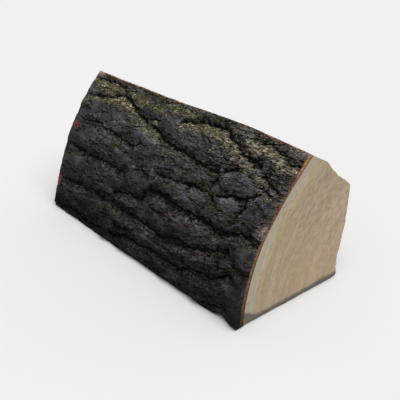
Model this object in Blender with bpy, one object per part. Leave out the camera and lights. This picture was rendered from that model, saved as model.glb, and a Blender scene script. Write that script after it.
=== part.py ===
# A split firewood log: a piece of a round trunk, sawn square at both ends and split lengthwise,
# with the rough bark still on its curved side. It lies on its lower split face.
# Metres, +Z up. X runs along the grain, with the near sawn end at +X, and +Y points away from the bark.
# The origin is at the middle of the bottom of the log's box.

import math
from collections import namedtuple

import bmesh
import bpy
import numpy as np
from mathutils import Vector, noise

MM = 0.001

# Driving dimensions of the log
LOG_LENGTH = 0.330
INNER_BARK = 0.0053      # the orange inner bark, from the wood out to the dark outer bark
PLATE_BASE = 0.0034      # dark outer bark at the shoulder of a plate
PLATE_CROWN = 0.0018     # how much the middle of a plate stands above its shoulders
THINNEST_BARK = 0.0004   # dark bark left at the bottom of the deepest fissure
LAYER_GAP = 0.0003       # clearance between the bark and the wood

# The line between orange and dark bark, as an arc over a chord, in the plane of each end:
# where it starts at the foot, where it ends at the top, and how far it bows out (Y, Z)
FOOT_NEAR = (0.0000, 0.0000)
FOOT_FAR = (0.0035, 0.0000)
TOP_NEAR = (0.0840, 0.1536)
TOP_FAR = (0.0820, 0.1535)
BOW_NEAR = 0.0198
BOW_FAR = 0.0130

CREST_RISE = 0.0034      # how much higher the top edge is at the crest between its ends
CREST_PLACE = 0.085
CREST_SIZE = 0.075

# Where each end is flatter than an arc: how deep, and its place and size as shares of the way up
Dent = namedtuple("Dent", "depth place size")
NEAR_DENT = Dent(0.0020, 0.74, 0.20)
FAR_DENT = Dent(0.0018, 0.24, 0.20)

# Corners of the split faces behind the bark, from the top round the back to the heel (Y, Z)
CORNERS_NEAR = [(0.1098, 0.1386), (0.1258, 0.1198), (0.1473, 0.1040), (0.1446, 0.0626), (0.1364, 0.0262),
                (0.1382, 0.0000)]
CORNERS_FAR = [(0.1060, 0.1310), (0.1215, 0.1150), (0.1440, 0.1030), (0.1470, 0.0680), (0.1400, 0.0300),
               (0.1405, 0.0000)]

# The flat spot that the log rests on, under its weight
REST_LENGTH = 0.210
REST_FRONT = 0.032
REST_BACK = 0.122
REST_EDGE = 0.014        # width of the band in which the underside lifts off the surface
REST_CLEARANCE = 0.0011  # how far the rest of the underside stands clear

# The lower edge of the near sawn end, where the underside has broken away
BREAK_RUN = 0.0012
BREAK_HEIGHT = 0.0040

TOP_HOLLOW = 0.0032      # how far the top split face dips between the bark and its first corner
HOLLOW_REACH = 0.024     # how far behind the near end that hollow reaches its full depth

# The lower edge of the bark: how far it stays off the surface, and the bite taken out of it
EDGE_CLEARANCE = 0.0004
BITE_PLACE = 0.142
BITE_SIZE = 0.009
BITE_HEIGHT = 0.0040
FOOT_THINNING = 0.45     # share of the dark bark's thickness that is left at its lower edge
FOOT_BAND = 0.006        # height of the band in which it thins

# Unevenness by smooth noise: how high, how long along the grain, how wide across it, and a seed
Wave = namedtuple("Wave", "height length width seed")
BARK_SWELL = Wave(0.0009, 0.062, 0.026, 2.2)
BARK_LUMPS = Wave(0.0008, 0.021, 0.010, 9.4)
FISSURE_SWAY_ALONG = Wave(0.0014, 0.030, 0.016, 1.3)
FISSURE_SWAY_ROUND = Wave(0.0010, 0.024, 0.014, 6.9)
BARK_EDGE = Wave(0.0009, 0.021, 1.0, 4.7)
SPLIT_RIDGES = Wave(0.0011, 0.110, 0.012, 3.1)
SPLIT_LEDGES = Wave(0.0018, 0.150, 0.024, 5.6)
LEDGE_SHARPNESS = 0.06
TOP_FACE_RELIEF = 0.35   # share of that relief on the top split face
UNDERSIDE = Wave(0.0008, 0.090, 0.013, 7.7)

# How finely each surface is divided
ALONG_STEPS = 78
WOOD_STRIDE = 3          # the wood has one section for every third one of the bark
BARK_STEPS = 56
INNER_STEPS = 14
EDGE_STEPS = 2
SPLIT_SPACING = 0.0056
PATCH_REACH = 0.35       # share of a cell over which the bark's relief is averaged, each way

# Bark fissures, in millimetres: depth, half width, then points (along the log, up round the bark)
FISSURES = [
    # near the top edge
    (2.6, 2.6, [(-175, 162), (-141, 168), (-100, 167)]),
    (3.8, 4.0, [(0, 157), (38, 168), (67, 170), (97, 155), (134, 149)]),
    (3.4, 3.6, [(97, 172), (121, 173), (156, 163), (175, 166)]),
    # the wide upper one, and the thin one under it
    (4.2, 5.2, [(-175, 139), (-147, 147), (-123, 151), (-103, 159), (-87, 156), (-71, 149), (15, 131),
                (51, 128), (89, 128)]),
    (3.4, 2.8, [(-175, 121), (-153, 113), (-119, 118), (-49, 112), (-32, 123)]),
    # round the raised plates near the sawn end
    (3.0, 3.0, [(87, 127), (97, 136), (103, 139), (110, 139)]),
    (3.0, 2.4, [(91, 128), (83, 115), (84, 110), (89, 107)]),
    (3.4, 2.8, [(93, 104), (114, 116), (130, 116), (132, 106), (128, 92), (131, 84)]),
    (3.2, 3.0, [(131, 115), (145, 127), (161, 130)]),
    (3.2, 3.4, [(130, 146), (144, 135), (155, 137), (175, 131)]),
    # across the middle
    (4.2, 3.6, [(-181, 79), (-158, 81), (-119, 79), (-93, 83), (-35, 81)]),
    (2.6, 2.6, [(-34, 92), (-22, 94), (1, 91)]),
    (3.6, 2.8, [(-3, 97), (80, 107), (99, 100)]),
    (4.8, 4.4, [(-3, 80), (33, 81), (45, 78), (75, 78), (84, 80), (117, 77), (155, 86), (175, 85)]),
    # the lower ones, down to the foot
    (3.0, 3.6, [(-61, 55), (-28, 65), (-4, 65), (0, 81)]),
    (4.6, 4.2, [(-176, 38), (-151, 38), (-116, 43), (-88, 43), (-60, 48), (-41, 44), (16, 44), (36, 40),
                (64, 48), (84, 48), (96, 53), (112, 56), (122, 63), (141, 64)]),
    (3.0, 2.8, [(140, 54), (157, 53), (175, 56)]),
    (2.2, 2.0, [(-183, 55), (-149, 52)]),
    (2.2, 2.0, [(118, 67), (129, 40)]),
    (2.2, 1.6, [(74, 42), (83, 25)]),
    (2.0, 2.4, [(-50, 23), (-6, 27)]),
    (3.8, 3.6, [(-52, 8), (-19, 18), (5, 18), (39, 22), (77, 22), (83, 26), (107, 32), (120, 32), (139, 41),
                (157, 41)]),
    (3.0, 3.0, [(-181, 1), (-128, 9), (-102, 7), (-61, 9)]),
    (2.6, 2.4, [(111, 5), (143, 9), (158, 7)]),
]
FISSURE_VALLEY = 2.0     # how far a fissure's gentle outer slopes run, in half widths
FISSURE_CORE = 0.9       # how far its steep middle runs, in half widths
CORE_SHARE = 0.45        # share of its depth that the steep middle has
FISSURE_TAPER = 8.0      # length over which a fissure fades out at its ends
SHOULDER_REACH = 7.0     # how far from a fissure a plate goes on rising to its crown
FAR_END_DEPTH = 0.25     # share of their depth that fissures keep at the far sawn end
FAR_END_REACH = 0.035    # how far from that end they are at full depth
TOP_EDGE_DEPTH = 0.5     # share of their depth that they keep at the bark's top edge
TOP_EDGE_BAND = 0.007    # height of the band in which they fade to it


def smoothstep(low, high, value):
    part = np.clip((value - low) / (high - low), 0.0, 1.0)
    return part * part * (3.0 - 2.0 * part)


def blend(far, near, share):
    return far + (near - far) * share


def blend_points(far, near, share):
    return [(blend(a[0], b[0], share), blend(a[1], b[1], share)) for a, b in zip(far, near)]


def uneven(wave, x, across):
    # a smooth random height, between about minus and plus the wave's own
    return wave.height * noise.noise(Vector((x / wave.length, across / wave.width, wave.seed)))


def uneven_all(wave, xs, acrosses):
    return np.array([uneven(wave, x, across) for x, across in zip(xs, acrosses)])


class Section:
    # the log's section at one place along it: the circle of the bark line and the split corners

    def __init__(self, x):
        share = x / LOG_LENGTH + 0.5
        foot = Vector(blend_points([FOOT_FAR], [FOOT_NEAR], share)[0])
        top = Vector(blend_points([TOP_FAR], [TOP_NEAR], share)[0])
        top.y += CREST_RISE * math.exp(-((x - CREST_PLACE) / CREST_SIZE) ** 2)
        bow = blend(BOW_FAR, BOW_NEAR, share)
        half_chord = (top - foot).length / 2.0
        self.radius = (half_chord ** 2 + bow ** 2) / (2.0 * bow)
        inward = Vector((top.y - foot.y, foot.x - top.x)).normalized()
        self.centre = (foot + top) / 2.0 + inward * (self.radius - bow)
        self.corners = blend_points(CORNERS_FAR, CORNERS_NEAR, share)
        self.top = top
        self.top_run = (Vector(self.corners[0]) - top).normalized()
        self.dents = [(NEAR_DENT, share), (FAR_DENT, 1.0 - share)]
        self.bark_lift = bark_lift(x)

    def point(self, radius, angle):
        # the angle is measured up from the -Y direction
        return (self.centre.x - radius * math.cos(angle), self.centre.y + radius * math.sin(angle))

    def foot_angle(self, radius, height):
        return math.asin((height - self.centre.y) / radius)

    def top_angle(self, radius):
        # where the line of the top split face crosses this radius
        start = self.top - self.centre
        along = start.dot(self.top_run)
        reach = -along - math.sqrt(along ** 2 - start.length_squared + radius ** 2)
        hit = start + self.top_run * reach
        return math.atan2(hit.y, -hit.x)

    def arc(self, radius, share, height=0.0):
        low = self.foot_angle(radius, height)
        dented = radius
        for dent, strength in self.dents:
            dented -= strength * dent.depth * math.exp(-((share - dent.place) / dent.size) ** 4)
        return self.point(dented, blend(low, self.top_angle(radius), share))


def bark_lift(x):
    # the lower edge of the bark is ragged, with one bite taken out of it near the sawn end
    bite = BITE_HEIGHT * math.exp(-((x - BITE_PLACE) / BITE_SIZE) ** 2)
    ragged = BARK_EDGE.height + uneven(BARK_EDGE, x, 0.0)
    return EDGE_CLEARANCE + ragged + bite


def fissure_field(x, t):
    # x and t in millimetres, as arrays: how deep the grooves are, and how near the nearest one is (0 to 1)
    groove = np.zeros_like(x)
    nearness = np.zeros_like(x)
    for depth, half_width, points in FISSURES:
        line = np.array(points, dtype=float)
        steps = np.diff(line, axis=0)
        lengths = np.hypot(steps[:, 0], steps[:, 1])
        starts = np.concatenate(([0.0], np.cumsum(lengths)))
        distance = np.full_like(x, 1e9)
        travel = np.zeros_like(x)
        for start, step, length, before in zip(line[:-1], steps, lengths, starts):
            share = np.clip(((x - start[0]) * step[0] + (t - start[1]) * step[1]) / length ** 2, 0.0, 1.0)
            gap = np.hypot(x - start[0] - share * step[0], t - start[1] - share * step[1])
            closer = gap < distance
            distance = np.where(closer, gap, distance)
            travel = np.where(closer, before + share * length, travel)
        from_end = np.minimum(travel, starts[-1] - travel)
        strength = smoothstep(0.0, FISSURE_TAPER, from_end)
        valley = 1.0 - smoothstep(0.0, FISSURE_VALLEY * half_width, distance)
        core = 1.0 - smoothstep(0.0, FISSURE_CORE * half_width, distance)
        groove = np.maximum(groove, depth * strength * blend(valley, core, CORE_SHARE))
        nearness = np.maximum(nearness, strength * np.exp(-distance / SHOULDER_REACH))
    return groove, nearness


def bark_height(x, t):
    # height of the dark bark above the orange line; x along the log and t up round the bark, in metres
    swayed_x = x + uneven_all(FISSURE_SWAY_ALONG, x, t)
    swayed_t = t + uneven_all(FISSURE_SWAY_ROUND, x, t)
    groove, nearness = fissure_field(swayed_x / MM, swayed_t / MM)
    groove *= blend(FAR_END_DEPTH, 1.0, smoothstep(0.0, FAR_END_REACH, x + LOG_LENGTH / 2.0))
    groove *= blend(1.0, TOP_EDGE_DEPTH, smoothstep(-TOP_EDGE_BAND, 0.0, t - t[-1]))
    height = PLATE_BASE + PLATE_CROWN * (1.0 - nearness) - groove * MM
    height = height + uneven_all(BARK_SWELL, x, t) + uneven_all(BARK_LUMPS, x, t)
    foot_taper = blend(FOOT_THINNING, 1.0, smoothstep(0.0, FOOT_BAND, t))
    return np.maximum(height * foot_taper, THINNEST_BARK)


def bark_relief(x, t):
    # the mean height over the patch of bark that each point stands for, so that no fissure turns jagged
    reach_x = PATCH_REACH * LOG_LENGTH / ALONG_STEPS
    reach_t = PATCH_REACH * (t[-1] - t[0]) / BARK_STEPS
    samples = [bark_height(x + a * reach_x, t + b * reach_t) for a in (-1, 0, 1) for b in (-1, 0, 1)]
    return np.mean(samples, axis=0)


def bark_loops(stations):
    # closed loops round the bark: up its outside, over the top edge, down inside, back along the foot
    shares = np.linspace(0.0, 1.0, BARK_STEPS + 1)
    loops = []
    for x in stations:
        section = Section(x)
        inside = section.radius - INNER_BARK
        low = section.foot_angle(section.radius, section.bark_lift)
        high = section.top_angle(section.radius)
        t = shares * (high - low) * section.radius
        heights = bark_relief(np.full_like(t, x), t)
        loop = [section.arc(section.radius + h, s, section.bark_lift) for s, h in zip(shares, heights)]
        for step in range(1, EDGE_STEPS):
            radius = blend(section.radius + heights[-1], inside, step / EDGE_STEPS)
            loop.append(section.arc(radius, 1.0, section.bark_lift))
        for step in range(INNER_STEPS, -1, -1):
            loop.append(section.arc(inside, step / INNER_STEPS, section.bark_lift))
        for step in range(1, EDGE_STEPS):
            radius = blend(inside, section.radius + heights[0], step / EDGE_STEPS)
            loop.append(section.arc(radius, 0.0, section.bark_lift))
        loops.append([(x, y, z) for y, z in loop])
    return loops


def split_relief(x, across):
    # torn fibres of a split face: long ridges and a few ledges, both drawn out along the grain
    level = uneven(SPLIT_LEDGES, x, across) / SPLIT_LEDGES.height
    ledges = SPLIT_LEDGES.height * (float(smoothstep(-LEDGE_SHARPNESS, LEDGE_SHARPNESS, level)) - 0.5)
    return uneven(SPLIT_RIDGES, x, across) + ledges


def underside_lift(x, y):
    # zero over the resting spot, a little clear of the surface round it, broken away at the sawn ends
    outside_x = abs(x) - REST_LENGTH / 2.0
    outside_y = max(REST_FRONT - y, y - REST_BACK)
    clear = float(smoothstep(0.0, REST_EDGE, max(outside_x, outside_y)))
    near_break = BREAK_HEIGHT * float(smoothstep(LOG_LENGTH / 2.0 - BREAK_RUN, LOG_LENGTH / 2.0, x))
    return clear * (REST_CLEARANCE + uneven(UNDERSIDE, x, y) + near_break)


def split_counts():
    # how many steps each stretch of the split outline gets, from its size at the near end
    section = Section(LOG_LENGTH / 2.0)
    inside = section.radius - INNER_BARK - LAYER_GAP
    outline = [section.arc(inside, 1.0)] + list(section.corners) + [section.arc(inside, 0.0)]
    runs = [math.dist(a, b) for a, b in zip(outline, outline[1:])]
    return [max(2, round(run / SPLIT_SPACING)) for run in runs]


def wood_loops(stations):
    # closed loops round the wood: up under the bark, over the top split face, down the back, along the bottom
    counts = split_counts()
    loops = []
    for x in stations:
        section = Section(x)
        inside = section.radius - INNER_BARK - LAYER_GAP
        foot_lift = min(underside_lift(x, section.arc(inside, 0.0)[0]), 0.8 * section.bark_lift)
        foot = section.arc(inside, 0.0, foot_lift)
        loop = [foot] + [section.arc(inside, step / INNER_STEPS, section.bark_lift)
                         for step in range(INNER_STEPS + 1)]
        outline = [loop[-1]] + list(section.corners) + [foot]
        across = 0.0
        for number, (start, end, count) in enumerate(zip(outline, outline[1:], counts)):
            run = math.dist(start, end)
            outward = ((start[1] - end[1]) / run, (end[0] - start[0]) / run)
            lowest = number == len(counts) - 1
            for step in range(1, count if lowest else count + 1):
                share = step / count
                y, z = blend_points([start], [end], share)[0]
                if lowest:
                    z = underside_lift(x, y)
                else:
                    sunk = split_relief(x, across + share * run) * split_fade(number, share)
                    sunk += top_hollow(x, number, share)
                    y -= outward[0] * sunk
                    z = max(z - outward[1] * sunk, underside_lift(x, y))
                loop.append((y, z))
            across += run
        loops.append([(x, y, z) for y, z in loop])
    return loops


def split_fade(number, share):
    # the relief dies away where the top split face meets the bark, and at the heel
    if number == 0:
        return TOP_FACE_RELIEF * float(smoothstep(0.0, 0.5, share))
    if number == 1:
        return blend(TOP_FACE_RELIEF, 1.0, share)
    if number == len(CORNERS_NEAR) - 1:
        return 1.0 - float(smoothstep(0.6, 1.0, share))
    return 1.0


def top_hollow(x, number, share):
    # behind the near end the top split face is a little hollow
    if number != 0:
        return 0.0
    return TOP_HOLLOW * float(smoothstep(0.0, HOLLOW_REACH, LOG_LENGTH / 2.0 - x)) * math.sin(math.pi * share)


def loft(name, loops, material):
    # one closed body through the loops, with a flat face on each sawn end
    mesh = bpy.data.meshes.new(name)
    shape = bmesh.new()
    rings = [[shape.verts.new(point) for point in loop] for loop in loops]
    for ring, following in zip(rings, rings[1:]):
        for index in range(len(ring)):
            after = (index + 1) % len(ring)
            shape.faces.new((ring[index], following[index], following[after], ring[after]))
    shape.faces.new(rings[0])
    shape.faces.new(list(reversed(rings[-1])))
    bmesh.ops.triangulate(shape, faces=shape.faces[:], quad_method="SHORT_EDGE")
    shape.to_mesh(mesh)
    shape.free()
    mesh.shade_smooth()
    mesh.set_sharp_from_angle(angle=math.radians(40.0))
    mesh.materials.append(material)
    body = bpy.data.objects.new(name, mesh)
    bpy.context.scene.collection.objects.link(body)
    return body


def finish_material(name, colour, roughness):
    material = bpy.data.materials.new(name)
    material.use_nodes = True
    shader = material.node_tree.nodes["Principled BSDF"]
    shader.inputs["Base Color"].default_value = (*colour, 1.0)
    shader.inputs["Roughness"].default_value = roughness
    shader.inputs["Metallic"].default_value = 0.0
    return material


def bark_material():
    return finish_material("dark plated bark", (0.040, 0.035, 0.032), 0.92)


def wood_material():
    return finish_material("pale sawn wood", (0.400, 0.300, 0.190), 0.80)


def centre_on_box(bodies):
    # moves the log so that the origin is at the middle of the bottom of its box
    lows = np.min([np.min([v.co[:] for v in body.data.vertices], axis=0) for body in bodies], axis=0)
    highs = np.max([np.max([v.co[:] for v in body.data.vertices], axis=0) for body in bodies], axis=0)
    middle = (lows + highs) / 2.0
    for body in bodies:
        body.location = (-middle[0], -middle[1], -lows[2])


def main():
    for leftover in list(bpy.data.objects):
        bpy.data.objects.remove(leftover, do_unlink=True)
    stations = list(np.linspace(-LOG_LENGTH / 2.0, LOG_LENGTH / 2.0, ALONG_STEPS + 1))
    bark = loft("bark", bark_loops(stations), bark_material())
    wood_stations = sorted(stations[::WOOD_STRIDE] + [LOG_LENGTH / 2.0 - BREAK_RUN])
    wood = loft("wood", wood_loops(wood_stations), wood_material())
    centre_on_box([bark, wood])


main()
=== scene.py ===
import math

import bpy
import numpy as np
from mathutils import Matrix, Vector, noise
from mathutils.geometry import delaunay_2d_cdt


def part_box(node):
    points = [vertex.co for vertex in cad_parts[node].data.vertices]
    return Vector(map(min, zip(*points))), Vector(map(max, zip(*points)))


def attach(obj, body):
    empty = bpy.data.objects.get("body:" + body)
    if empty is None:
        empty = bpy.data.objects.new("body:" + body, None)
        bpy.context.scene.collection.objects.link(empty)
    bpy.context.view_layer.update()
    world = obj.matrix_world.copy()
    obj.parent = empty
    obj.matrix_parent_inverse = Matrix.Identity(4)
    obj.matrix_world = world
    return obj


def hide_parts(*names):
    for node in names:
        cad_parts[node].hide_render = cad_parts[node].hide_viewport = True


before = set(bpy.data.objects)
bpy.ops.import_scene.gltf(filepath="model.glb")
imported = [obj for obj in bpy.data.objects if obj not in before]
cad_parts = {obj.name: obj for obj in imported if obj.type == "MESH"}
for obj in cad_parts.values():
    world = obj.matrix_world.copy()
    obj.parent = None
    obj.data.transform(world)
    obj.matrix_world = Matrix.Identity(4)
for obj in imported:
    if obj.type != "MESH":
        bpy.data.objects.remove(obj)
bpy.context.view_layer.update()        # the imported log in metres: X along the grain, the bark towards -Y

mm = 0.001

# the log's own sizes, the same as its solids have (Y and Z of the near and the far sawn end)
logShape = {
    "length": 0.330,
    "innerBark": 0.0053,     # the orange layer
    "gap": 0.0003,           # between the bark and the wood
    "footNear": (0.0000, 0.0000), "footFar": (0.0035, 0.0000),
    "topNear": (0.0840, 0.1536), "topFar": (0.0820, 0.1535),
    "bowNear": 0.0198, "bowFar": 0.0130,
    "crest": (0.0034, 0.085, 0.075),         # of the top edge: height, place along the log, size
    "nearDent": (0.0020, 0.74, 0.20),        # where an end is flatter than an arc: depth, place and size
    "farDent": (0.0018, 0.24, 0.20),
    "footGap": 0.0013,                       # how high the bark's lower edge stands
    "footBite": (0.0040, 0.142, 0.009),      # where it is bitten out: height, place and size
    "cornersNear": [(0.1098, 0.1386), (0.1258, 0.1198), (0.1473, 0.1040), (0.1446, 0.0626),
                    (0.1364, 0.0262), (0.1382, 0.0000)],
    "cornersFar": [(0.1060, 0.1310), (0.1215, 0.1150), (0.1440, 0.1030), (0.1470, 0.0680),
                   (0.1400, 0.0300), (0.1405, 0.0000)],
}
halfLength = logShape["length"] / 2

# fissures of the bark in millimetres: depth, half width, points (along the log, up round the bark)
fissures = [
    # near the top edge
    (2.6, 2.6, [(-175, 162), (-141, 168), (-100, 167)]),
    (3.8, 4.0, [(0, 157), (38, 168), (67, 170), (97, 155), (134, 149)]),
    (3.4, 3.6, [(97, 172), (121, 173), (156, 163), (175, 166)]),
    # the wide upper one, and the thin one under it
    (4.0, 4.8, [(-175, 139), (-147, 147), (-123, 151), (-103, 159), (-87, 156), (-71, 149), (-44, 141),
                (-27, 141), (-8, 133), (15, 131), (51, 128), (89, 128)]),
    (3.0, 2.4, [(-50, 143), (-34, 150), (-22, 150)]),
    (3.4, 2.8, [(-175, 121), (-153, 113), (-119, 118), (-49, 112), (-32, 123)]),
    # round the raised plates near the sawn end
    (3.8, 3.0, [(87, 127), (97, 136), (103, 139), (110, 139)]),
    (4.2, 2.6, [(91, 128), (83, 115), (84, 110), (89, 107)]),
    (3.4, 2.8, [(93, 104), (114, 116), (130, 116), (132, 106), (128, 92), (131, 84)]),
    (3.2, 3.0, [(131, 115), (145, 127), (161, 130)]),
    (3.2, 3.4, [(130, 146), (144, 135), (155, 137), (175, 131)]),
    # across the middle
    (4.2, 3.6, [(-181, 79), (-158, 81), (-119, 79), (-93, 83), (-35, 81)]),
    (2.6, 2.6, [(-34, 92), (-22, 94), (1, 91)]),
    (3.6, 2.8, [(-3, 97), (80, 107), (99, 100)]),
    (4.8, 4.4, [(-3, 80), (33, 81), (45, 78), (75, 78), (84, 80), (117, 77), (155, 86), (175, 85)]),
    # the lower ones, down to the foot
    (3.0, 3.6, [(-61, 55), (-28, 65), (-4, 65), (0, 81)]),
    (4.6, 4.2, [(-176, 38), (-151, 38), (-116, 43), (-88, 43), (-60, 48), (-41, 44), (16, 44), (36, 40),
                (64, 48), (84, 48), (96, 53), (112, 56), (122, 63), (141, 64)]),
    (3.0, 2.8, [(140, 54), (157, 53), (175, 56)]),
    (2.2, 2.0, [(-183, 55), (-149, 52)]),
    (2.2, 2.0, [(118, 67), (129, 40)]),
    (2.2, 1.6, [(74, 42), (83, 25)]),
    (2.0, 2.4, [(-50, 23), (-6, 27)]),
    (3.8, 3.6, [(-52, 8), (-19, 18), (5, 18), (39, 22), (77, 22), (83, 26), (107, 32), (120, 32), (139, 41),
                (157, 41)]),
    (3.0, 3.0, [(-181, 1), (-128, 9), (-102, 7), (-61, 9)]),
    (2.6, 2.4, [(111, 5), (143, 9), (158, 7)]),
]


def mix(a, b, share):
    return a + (b - a) * share


def smoothstep(low, high, value):
    part = np.clip((value - low) / (high - low), 0.0, 1.0)
    return part * part * (3.0 - 2.0 * part)


def bell(value, middle, size, power=2):
    return np.exp(-((value - middle) / size) ** power)


def segmentGap(x, y, start, step):
    # how far points lie from a segment, and where on it they are nearest (0 to 1)
    awayX, awayY = x - start[0], y - start[1]
    squared = max(step[0] ** 2 + step[1] ** 2, 1e-14)
    share = np.clip((awayX * step[0] + awayY * step[1]) / squared, 0.0, 1.0)
    return np.hypot(awayX - share * step[0], awayY - share * step[1]), share


# repeatable noise on whole arrays
def hashed(column, row, seed):
    n = (column * 374761393 + row * 668265263 + seed * 974634777) & 0xFFFFFFFF
    n = ((n ^ (n >> 13)) * 1274126177) & 0xFFFFFFFF
    return ((n ^ (n >> 16)) & 0xFFFFFF) / float(0x1000000)


def softNoise(x, y, seed):        # smooth, from about -1 to 1, one bump to a unit
    column, row = np.floor(x).astype(np.int64), np.floor(y).astype(np.int64)
    alongX, alongY = x - column, y - row
    easeX = alongX ** 3 * (alongX * (alongX * 6 - 15) + 10)
    easeY = alongY ** 3 * (alongY * (alongY * 6 - 15) + 10)
    total = np.zeros_like(alongX * alongY)
    for right in (0, 1):
        for above in (0, 1):
            turn = hashed(column + right, row + above, seed) * 2 * math.pi
            slope = np.cos(turn) * (alongX - right) + np.sin(turn) * (alongY - above)
            total += slope * (easeX if right else 1 - easeX) * (easeY if above else 1 - easeY)
    return total * 1.4


def roughNoise(x, y, seed, layers=4, gain=0.5):
    total, size, most = 0.0, 1.0, 0.0
    for layer in range(layers):
        total = total + size * softNoise(x * 2 ** layer, y * 2 ** layer, seed + 17 * layer)
        most += size
        size *= gain
    return total / most


def flakeCells(x, y, seed):
    # irregular cells: for each point its cell's three random numbers, its place in the cell, and how far the
    # cell's edge is (0 at the edge)
    column, row = np.floor(x).astype(np.int64), np.floor(y).astype(np.int64)
    nearest = np.full(np.broadcast(x, y).shape, 9.0)
    second = nearest.copy()
    found = [np.zeros_like(nearest) for number in range(5)]
    for right in (-1, 0, 1):
        for above in (-1, 0, 1):
            cellX, cellY = column + right, row + above
            offX = x - cellX - 0.15 - 0.7 * hashed(cellX, cellY, seed)
            offY = y - cellY - 0.15 - 0.7 * hashed(cellX, cellY, seed + 1)
            gap = np.hypot(offX, offY)
            closer = gap < nearest
            second = np.where(closer, nearest, np.minimum(second, gap))
            nearest = np.where(closer, gap, nearest)
            values = [hashed(cellX, cellY, seed + 2), hashed(cellX, cellY, seed + 3),
                      hashed(cellX, cellY, seed + 4), offX, offY]
            found = [np.where(closer, value, old) for value, old in zip(values, found)]
    return found, second - nearest


# the waves that the solids have too: height, length, width, seed
waves = {
    "swell": (0.0009, 0.062, 0.026, 2.2),
    "lumps": (0.0008, 0.021, 0.010, 9.4),
    "swayAlong": (0.0014, 0.030, 0.016, 1.3),
    "swayRound": (0.0010, 0.024, 0.014, 6.9),
    "barkEdge": (0.0009, 0.021, 1.0, 4.7),
    "splitRidges": (0.0011, 0.110, 0.012, 3.1),
    "splitLedges": (0.0018, 0.150, 0.024, 5.6),
    "underside": (0.0008, 0.090, 0.013, 7.7),
}


def uneven(name, x, across):
    height, length, width, seed = waves[name]
    x, across = np.broadcast_arrays(x, across)
    spots = zip((x / length).ravel().tolist(), (across / width).ravel().tolist())
    values = [noise.noise(Vector((a, b, seed))) for a, b in spots]
    return height * np.array(values).reshape(x.shape)


# the log's section at any place along it; all of these take whole arrays
def between(far, near, share):
    return [mix(a, b, share) for a, b in zip(far, near)]


def sectionAt(x):
    share = x / logShape["length"] + 0.5
    footY, footZ = between(logShape["footFar"], logShape["footNear"], share)
    topY, topZ = between(logShape["topFar"], logShape["topNear"], share)
    rise, place, size = logShape["crest"]
    topZ = topZ + rise * bell(x, place, size)
    bow = mix(logShape["bowFar"], logShape["bowNear"], share)
    half = np.hypot(topY - footY, topZ - footZ) / 2
    radius = (half ** 2 + bow ** 2) / (2 * bow)
    centreY = (footY + topY) / 2 + (topZ - footZ) / (2 * half) * (radius - bow)
    centreZ = (footZ + topZ) / 2 - (topY - footY) / (2 * half) * (radius - bow)
    cornerY, cornerZ = between(logShape["cornersFar"][0], logShape["cornersNear"][0], share)
    run = np.hypot(cornerY - topY, cornerZ - topZ)
    return {"centreY": centreY, "centreZ": centreZ, "radius": radius, "topY": topY, "topZ": topZ,
            "runY": (cornerY - topY) / run, "runZ": (cornerZ - topZ) / run, "share": share}


def footAngle(section, radius, height):
    return np.arcsin((height - section["centreZ"]) / radius)


def topAngle(section, radius):
    startY, startZ = section["topY"] - section["centreY"], section["topZ"] - section["centreZ"]
    along = startY * section["runY"] + startZ * section["runZ"]
    reach = -along - np.sqrt(along ** 2 - startY ** 2 - startZ ** 2 + radius ** 2)
    return np.arctan2(startZ + section["runZ"] * reach, -(startY + section["runY"] * reach))


def arcPoint(section, radius, share, height):
    angle = mix(footAngle(section, radius, height), topAngle(section, radius), share)
    for name, strength in (("nearDent", section["share"]), ("farDent", 1.0 - section["share"])):
        depth, place, size = logShape[name]
        radius = radius - strength * depth * bell(share, place, size, 4)
    return section["centreY"] - radius * np.cos(angle), section["centreZ"] + radius * np.sin(angle)


def barkLift(x):
    height, place, size = logShape["footBite"]
    return logShape["footGap"] + uneven("barkEdge", x, 0.0 * x) + height * bell(x, place, size)


nearEnd = sectionAt(np.array([halfLength]))
woodRadius = nearEnd["radius"] - logShape["innerBark"] - logShape["gap"]
woodFootY = arcPoint(nearEnd, woodRadius, 0.0, mm)[0][0]        # the wood's foot is 1 mm up there
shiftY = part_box("wood")[0].y - woodFootY        # from the section's own measure to the frame's
print("frame read, section shifted by", round(shiftY / mm, 2), "mm")


# camera: as high, as far and as long a lens as the photo's perspective gives
cameraSetup = {
    "place": (0.5639, shiftY - 0.3905, 0.4201),
    "heading": 49.3,        # degrees left of +Y
    "pitch": 27.03,         # degrees below the horizon
    "lens": 66.42,
    "sensor": 36.0,
}


def makeCamera(setup):
    data = bpy.data.cameras.new("photoView")
    data.lens, data.sensor_width = setup["lens"], setup["sensor"]
    data.clip_start, data.clip_end = 0.01, 100.0
    camera = bpy.data.objects.new("photoView", data)
    camera.location = setup["place"]
    camera.rotation_euler = (math.radians(90 - setup["pitch"]), 0.0, math.radians(setup["heading"]))
    bpy.context.scene.collection.objects.link(camera)
    bpy.context.scene.camera = camera


makeCamera(cameraSetup)
print("camera placed")


# small helpers for node materials
def newMaterial(name):
    material = bpy.data.materials.new(name)
    material.use_nodes = True
    nodes = material.node_tree.nodes
    return material, nodes["Principled BSDF"]


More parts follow.
